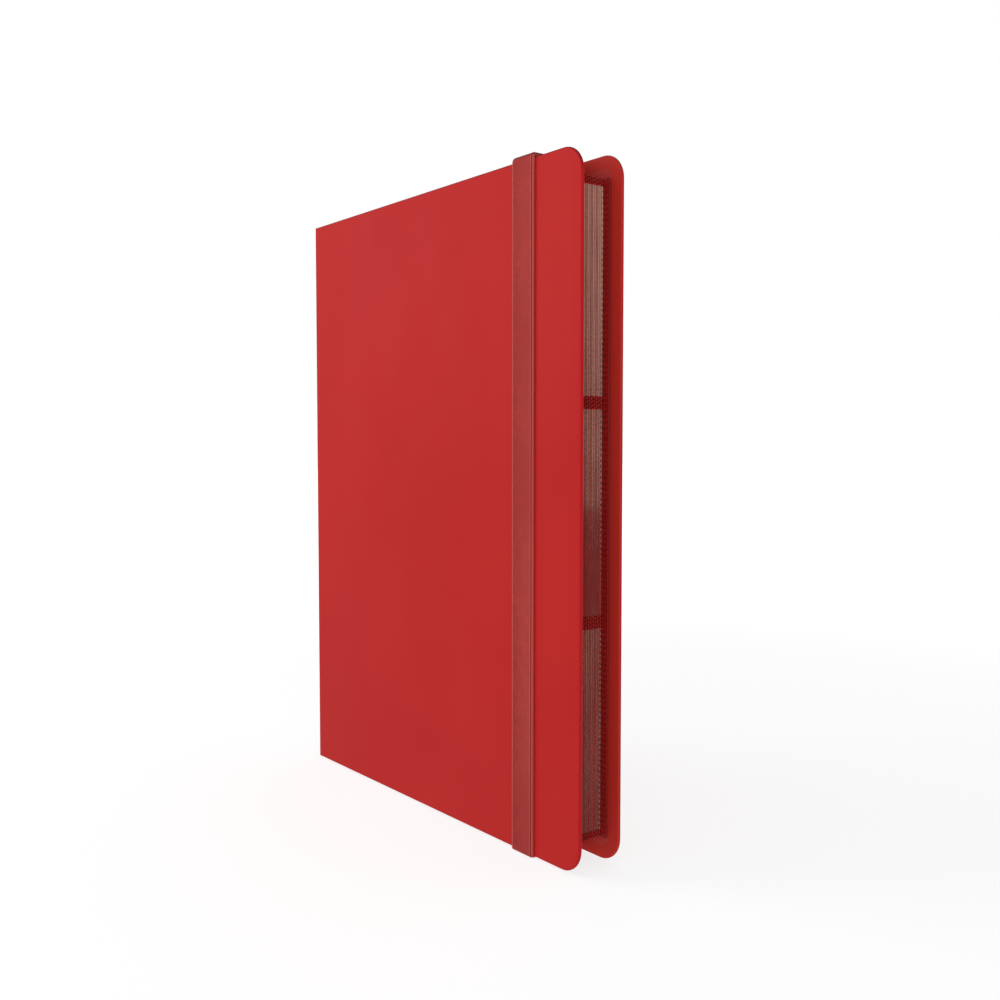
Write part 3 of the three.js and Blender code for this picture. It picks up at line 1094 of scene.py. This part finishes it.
def fold_finish(name, milky, tint, tooth_marks_and_glints=0.0):
    """Film round the leaf's outer edge, with painted reflection: milkier towards the head, less in a
    band lower down.
    """
    finish = Finish(name, Specular_IOR_Level=0.08, IOR=FILM_IOR)
    height = finish.place().part(2)
    wavy = height + finish.noise(40, 2) * DARK_BAND_RIPPLE
    painted_dark_band = wavy.within(DARK_BAND_FROM - DARK_BAND_BLUR, DARK_BAND_FROM + DARK_BAND_BLUR)
    painted_dark_band *= wavy.within(DARK_BAND_TO + DARK_BAND_BLUR, DARK_BAND_TO - DARK_BAND_BLUR)
    # Painted reflection: the milk grows towards the head and drops in the dark band.
    share = (height * (1 / FULL_HAZE)) ** 2 * 1.3 + 0.15 + painted_dark_band * -0.4
    # Painted highlight: the milk rises and falls at the pitch of the weld dots, for glints along the
    # fold.
    share += waves(height, DOT_PITCH) * tooth_marks_and_glints
    scuffs, colour = scuffed(finish, tint)
    return finish.feed(
        Base_Color=colour,
        Roughness=0.5 + scuffs * 0.12,
        Alpha=share.at_least(LEAST_HAZE) * milky,
    )


# %% [markdown]
# ## Sheet and weld finishes
# The sheet is a smooth dark red plastic with a very fine grain. In a weld it is melted together
# with the film, so the weld is the sheet's red, darker and glossier, with uneven melting.

# %% Sheet and weld finishes
WELD_ROW_STEP = ROW_WELD / 3.5  # three rows of teeth and a half row's margin


def sheet_finish():
    finish = Finish("page_sheet_red", Specular_IOR_Level=0.16)
    cloud = finish.noise(30, 3)
    grain = finish.noise(3000, 1)
    colour = finish.blend(cloud.within(0.3, 0.7), rgb(158, 30, 28), rgb(168, 36, 33))
    return finish.feed(
        Base_Color=colour,
        Roughness=0.42 + grain * 0.1,
        Normal=finish.bump(grain, 0.02 * MM, 0.4),
    )


def weld_finish(name, dark, light, tooth_marks_and_glints=0.0, lag=0.0):
    """Melted film and sheet, with bars of tooth marks where the weld runs round a fold."""
    finish = Finish(name, Specular_IOR_Level=0.18)
    melt = finish.noise(1400, 2)
    bars = (finish.place().part(2) * (2 * math.pi / WELD_ROW_STEP) + lag).wave()
    colour = finish.blend((melt + bars * tooth_marks_and_glints).within(0.3, 0.7), rgb(*dark), rgb(*light))
    return finish.feed(
        Base_Color=colour,
        Roughness=0.34 + melt * 0.2,
        Normal=finish.bump(melt, 0.03 * MM, 0.5),
    )


# %% [markdown]
# One film takes five finishes. Which one a face takes follows from where it lies: on a clear wall,
# round the fold, in a weld, where a weld runs round the fold, or in the last leaf's border.

# %% Make the leaves' finishes
CLEAR_FILM = film_finish("pocket_film_clear", 0.16, 0.08, (200, 172, 162))
FOLDS = [
    fold_finish("pocket_fold_hazy", 0.4, (202, 150, 134)),
    fold_finish("pocket_fold_clear", 0.32, (196, 130, 114)),
    fold_finish("pocket_fold_milky", 0.44, (204, 154, 138)),
]
# The leaf before the last has painted glints along its fold.
OPEN_FOLD = fold_finish("pocket_fold_painted_glints", 0.34, (204, 164, 150), 0.5)
PAGE_RED = sheet_finish()
WELD_RED = weld_finish("page_weld_red", (112, 14, 14), (150, 28, 26))
BORDER_RED = weld_finish("page_border_red", (115, 16, 15), (146, 27, 25))
DOT_RED = weld_finish("page_weld_dot_red", (152, 24, 24), (174, 36, 33))
WELD_FOLDS = [
    weld_finish(f"page_weld_fold_{word}", (104, 14, 14), (184, 38, 34), 0.6, lag)
    for word, lag in (("low", 0.0), ("high", math.pi), ("middle", math.pi / 2))
]


# %% Mark which part of a film takes which finish
CLEAR, FOLD, WELD, WELD_FOLD, BORDER = range(5)


def mark_film(film, high_x, border=None):
    fold_x = high_x - FILM_RADIUS - FILM
    border_x = FAR_OUT if border is None else fold_x - border
    for face in film.data.polygons:
        x, z = face.center.x, face.center.z
        if x > border_x:
            face.material_index = BORDER
        elif in_bands(z, row_welds):
            face.material_index = WELD_FOLD if x > fold_x else WELD
        elif in_bands(x, column_welds):
            face.material_index = WELD
        else:
            face.material_index = FOLD if x > fold_x else CLEAR


mark_film(film, LEAF_HIGH.x)
mark_film(last_film, LAST_HIGH.x, border=LAST_HIGH.x - LEAF_HIGH.x)

# %% [markdown]
# ## Twenty leaves
# All leaves but the last are one leaf, copied at the binding's pitch. Their folds are not all
# alike: three kinds of haze take turns, and the leaf before the last, whose fold lies open beside
# the last leaf's border, has painted highlights along its fold at the pitch of the weld dots.

# %% Copy the leaf


def place_leaf(number, film_piece, dot_piece):
    body = f"page_{number:02d}"
    for piece in (film_piece, dot_piece):
        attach(piece, body)
    fold = OPEN_FOLD if number == LEAVES - 1 else FOLDS[number % len(FOLDS)]
    weld_fold = WELD_FOLDS[number % len(WELD_FOLDS)]
    # In the order of CLEAR, FOLD, WELD, WELD_FOLD and BORDER.
    dress(film_piece, CLEAR_FILM, fold, WELD_RED, weld_fold, BORDER_RED)
    dress(dot_piece, DOT_RED)
    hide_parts(f"{body}_pockets")
    dress(nodes[f"{body}_sheet"], PAGE_RED)


for number in range(2, LEAVES):
    pair = []
    for master, word in ((film, "film"), (dots, "welds")):
        twin = copy_of(master, f"page_{number:02d}_{word}")
        twin.location.y = (number - 1) * LEAF_PITCH
        settle(twin)
        pair.append(twin)
    place_leaf(number, *pair)
place_leaf(1, film, dots)
place_leaf(LEAVES, last_film, last_dots)
print("leaves placed:", LEAVES)

# %% [markdown]
# ## Boards, linings and the binding strip
# These are flat stock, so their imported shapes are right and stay. Only their finishes are made
# here: grey board with fibres, a smooth lining sheet, and the extruded strip that the leaves are
# welded to.

# %% Finishes of the flat parts
def board_finish():
    finish = Finish("grey_board", Specular_IOR_Level=0.2)
    fibre = finish.noise(500, 5, finish.stretched(1, 1, 3))
    fleck = finish.noise(1500, 2).within(0.62, 0.72)
    colour = finish.blend(fibre, rgb(128, 122, 112), rgb(158, 151, 140))
    colour = finish.blend(fleck * 0.5, colour, rgb(96, 90, 82))
    return finish.feed(
        Base_Color=colour,
        Roughness=0.85 + fibre * 0.1,
        Normal=finish.bump(fibre, 0.1 * MM),
    )


def lining_finish():
    finish = Finish("inner_lining_red", Specular_IOR_Level=0.3)
    cloud = finish.noise(14, 3)
    grain = finish.noise(1800, 2)
    colour = finish.blend(cloud.within(0.3, 0.7), rgb(170, 38, 32), rgb(175, 41, 34))
    return finish.feed(
        Base_Color=colour,
        Roughness=0.58 + grain * 0.08,
        Normal=finish.bump(grain, 0.04 * MM, 0.6),
    )


def strip_finish():
    finish = Finish("binding_strip_red", Specular_IOR_Level=0.45)
    drawn = finish.noise(300, 3, finish.stretched(1, 4, 0.02))
    colour = finish.blend(drawn, rgb(128, 24, 23), rgb(146, 30, 28))
    return finish.feed(
        Base_Color=colour,
        Roughness=0.34 + drawn * 0.15,
        Normal=finish.bump(drawn, 0.04 * MM),
    )


BOARD_GREY = board_finish()
LINING_RED = lining_finish()
STRIP_RED = strip_finish()
for place in ("front", "back", "spine"):
    dress(nodes[f"{place}_board"], BOARD_GREY)
    dress(nodes[f"{place}_lining"], LINING_RED)
dress(nodes["binding_strip"], STRIP_RED)

# %% [markdown]
# ## Studio
# A large soft light hangs overhead, a small one stands on the spine side, where it gives the matte
# wrapping its soft sheen, and a weaker one fills the gap at the fore-edge. The floor is pale, with
# a glow of its own that grows away from the binder until the floor meets the white background.

# %% Floor
FLOOR_SIZE = 14
GLOW_FROM, GLOW_TO = 0.35, 1.4  # metres from the binder


def grey(level):
    return (level, level, level, 1)


def lay_floor():
    deselect_everything()
    bpy.ops.mesh.primitive_plane_add(size=FLOOR_SIZE)
    floor = bpy.context.object
    floor.name = "studio_floor"
    finish = Finish("floor_white", Roughness=0.9, Specular_IOR_Level=0.1, Emission_Strength=1)
    cloud = finish.noise(1.5, 2)
    across, deep = finish.place().part(0), finish.place().part(1)
    far_off = ((across ** 2 + deep ** 2) ** 0.5).within(GLOW_FROM, GLOW_TO)
    finish.feed(
        Base_Color=finish.blend(cloud, grey(0.25), grey(0.27)),
        Emission_Color=finish.blend(far_off, grey(0.78), grey(1)),
    )
    dress(floor, finish.material)
    floor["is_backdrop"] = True


lay_floor()

# %% [markdown]
# The lights are square panels, so large that no shadow has a hard edge.

# %% Lights
def softbox(name, place, aim, side, watts):
    """A square area light that looks at a point."""
    deselect_everything()
    bpy.ops.object.light_add(type="AREA", location=place)
    light = bpy.context.object
    light.name = name
    light.data.shape = "RECTANGLE"
    light.data.size = side
    light.data.size_y = side
    light.data.energy = watts
    light.rotation_euler = (Vector(aim) - Vector(place)).to_track_quat("-Z", "Y").to_euler()


softbox("overhead_softbox", (0.2, -0.3, 2.2), aim=(0, 0, 0), side=3, watts=14)
softbox("spine_side_softbox", (-0.75, -0.75, 0.6), aim=(0, 0, 0.2), side=0.7, watts=5.5)
softbox("fore_edge_fill", (1, -0.75, 0.3), aim=(0.1, 0, 0.16), side=0.8, watts=4)

# %% [markdown]
# The room is an even white light, weak on the binder and pure white where the camera sees it.

# %% Room light
ROOM_LIGHT = 0.42


def light_the_room():
    world = bpy.data.worlds.new("studio")
    world.use_nodes = True
    bpy.context.scene.world = world
    tree = world.node_tree
    tree.nodes["Background"].inputs["Color"].default_value = grey(1)
    tree.nodes["Background"].inputs["Strength"].default_value = ROOM_LIGHT
    seen = tree.nodes.new("ShaderNodeBackground")
    seen.inputs["Color"].default_value = grey(1)
    path = tree.nodes.new("ShaderNodeLightPath")
    mix = tree.nodes.new("ShaderNodeMixShader")
    tree.links.new(path.outputs["Is Camera Ray"], mix.inputs[0])
    tree.links.new(tree.nodes["Background"].outputs[0], mix.inputs[1])
    tree.links.new(seen.outputs[0], mix.inputs[2])
    tree.links.new(mix.outputs[0], tree.nodes["World Output"].inputs["Surface"])


light_the_room()

# %% [markdown]
# ## Camera
# The camera stands to the front right, a little above the middle of the binder, and looks slightly
# down. Its lens is a normal one, close enough that the covers' edges run together.

# %% Camera
LENS, SENSOR = 39.167, 36  # millimetres
FROM_SPINE, FROM_FRONT, FROM_FOOT = 591.087 * MM, 314.817 * MM, 191.586 * MM
TURNED, LOOKING_DOWN = math.radians(52.388), math.radians(2.998)


def set_camera():
    deselect_everything()
    bpy.ops.object.camera_add()
    camera = bpy.context.object
    camera.name = "studio_camera"
    camera.data.lens = LENS
    camera.data.sensor_width = SENSOR
    camera.location = (SPINE_FACE + FROM_SPINE, FRONT_FACE - FROM_FRONT, FOOT + FROM_FOOT)
    camera.rotation_euler = (math.radians(90) - LOOKING_DOWN, 0, TURNED)
    bpy.context.scene.camera = camera
    bpy.context.scene.view_settings.view_transform = "Standard"


set_camera()

# %% [markdown]
# ## The finished size
# The finished binder should fill the same box as the imported parts, so both boxes are written down.

# %% Print both boxes
seen_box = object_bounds()
print("CAD box", [in_mm(corner) for corner in cad_box])
print("visual box", [in_mm(corner) for corner in seen_box])
